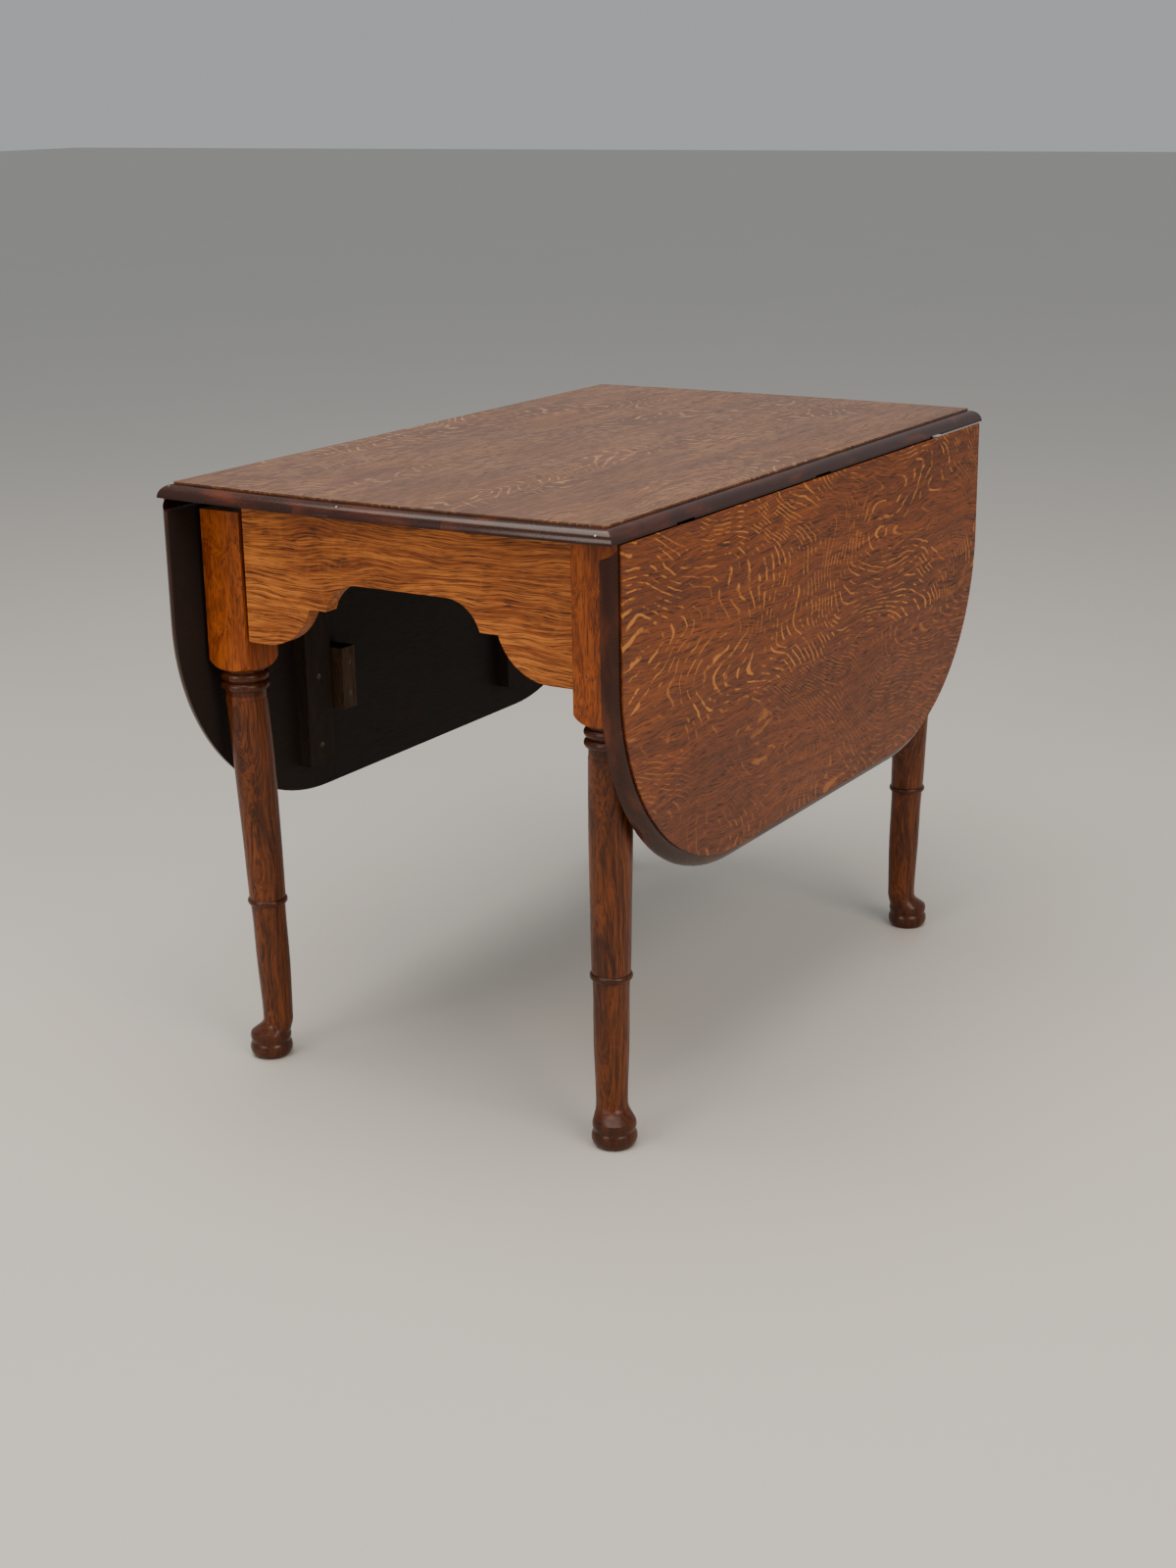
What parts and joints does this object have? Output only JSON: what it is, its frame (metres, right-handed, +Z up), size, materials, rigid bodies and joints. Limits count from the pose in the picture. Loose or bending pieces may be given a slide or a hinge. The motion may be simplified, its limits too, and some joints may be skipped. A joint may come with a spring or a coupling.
{
  "type": "drop leaf table",
  "caption": "Oak drop leaf table with moulded top, two rounded hanging leaves on rule joints, turned legs on pad feet, gate legs and shaped end aprons.",
  "frame": {"origin": "on the floor, under the middle of the top", "axes": "+X along the table's long side (the hinge lines), +Y across the table towards the back leaf, +Z up"},
  "size_m": [0.986, 0.617, 0.73],
  "materials": {
    "oak_top": "french polished, worn",
    "oak_leaf": "french polished",
    "oak_apron": "waxed",
    "oak_leg": "polished",
    "raw_oak": "unpolished, aged",
    "pale_block": "unpolished",
    "iron_hinges": "dark, aged",
    "steel_screws": "dull"
  },
  "bodies": {
    "frame": {"back_fixed_leg": "oak_leg", "back_gate_pin": "iron_hinges", "back_hinge_1_pin": "iron_hinges", "back_hinge_1_top_plate": "iron_hinges", "back_hinge_2_pin": "iron_hinges", "back_hinge_2_top_plate": "iron_hinges", "back_hinge_3_pin": "iron_hinges", "back_hinge_3_top_plate": "iron_hinges", "back_knuckle_rail": "raw_oak", "back_knuckle_rail_screws": "steel_screws", "back_side_rail": "raw_oak", "back_top_hinge_screws": "steel_screws", "corner_block_back_left": "raw_oak", "corner_block_back_right": "raw_oak", "corner_block_front_left": "raw_oak", "corner_block_front_right": "raw_oak", "front_fixed_leg": "oak_leg", "front_gate_pin": "iron_hinges", "front_hinge_1_pin": "iron_hinges", "front_hinge_1_top_plate": "iron_hinges", "front_hinge_2_pin": "iron_hinges", "front_hinge_2_top_plate": "iron_hinges", "front_hinge_3_pin": "iron_hinges", "front_hinge_3_top_plate": "iron_hinges", "front_knuckle_rail": "raw_oak", "front_knuckle_rail_screws": "steel_screws", "front_side_rail": "raw_oak", "front_top_hinge_screws": "steel_screws", "left_apron": "oak_apron", "right_apron": "oak_apron", "top_back_board": "oak_top", "top_front_board": "oak_top", "top_middle_board": "oak_top"},
    "front_leaf": {"front_batten_screws": "steel_screws", "front_hinge_1_leaf_plate": "iron_hinges", "front_hinge_2_leaf_plate": "iron_hinges", "front_hinge_3_leaf_plate": "iron_hinges", "front_leaf_batten_1": "raw_oak", "front_leaf_batten_2": "raw_oak", "front_leaf_hinge_screws": "steel_screws", "front_leaf_inner_board": "oak_leaf", "front_leaf_outer_board": "oak_leaf", "front_leaf_stop": "pale_block"},
    "back_leaf": {"back_batten_screws": "steel_screws", "back_hinge_1_leaf_plate": "iron_hinges", "back_hinge_2_leaf_plate": "iron_hinges", "back_hinge_3_leaf_plate": "iron_hinges", "back_leaf_batten_1": "raw_oak", "back_leaf_batten_2": "raw_oak", "back_leaf_hinge_screws": "steel_screws", "back_leaf_inner_board": "oak_leaf", "back_leaf_outer_board": "oak_leaf", "back_leaf_stop": "pale_block"},
    "front_gate": {"front_fly_rail": "raw_oak", "front_gate_leg": "oak_leg"},
    "back_gate": {"back_fly_rail": "raw_oak", "back_gate_leg": "oak_leg"}
  },
  "joints": [
    {"name": "front_leaf_hinge", "type": "hinge", "parent": "frame", "child": "front_leaf", "pos_m": [0, -0.2905, 0.712], "axis": [-1, 0, 0], "range_deg": [0, 90]},
    {"name": "back_leaf_hinge", "type": "hinge", "parent": "frame", "child": "back_leaf", "pos_m": [0, 0.2905, 0.712], "axis": [1, 0, 0], "range_deg": [0, 90]},
    {"name": "front_gate_play", "type": "hinge", "parent": "frame", "child": "front_gate", "pos_m": [0.085, -0.2392, 0.648], "axis": [0, 0, -1], "range_deg": [0, 0.8]},
    {"name": "back_gate_play", "type": "hinge", "parent": "frame", "child": "back_gate", "pos_m": [-0.085, 0.2392, 0.648], "axis": [0, 0, -1], "range_deg": [0, 0.8]}
  ]
}
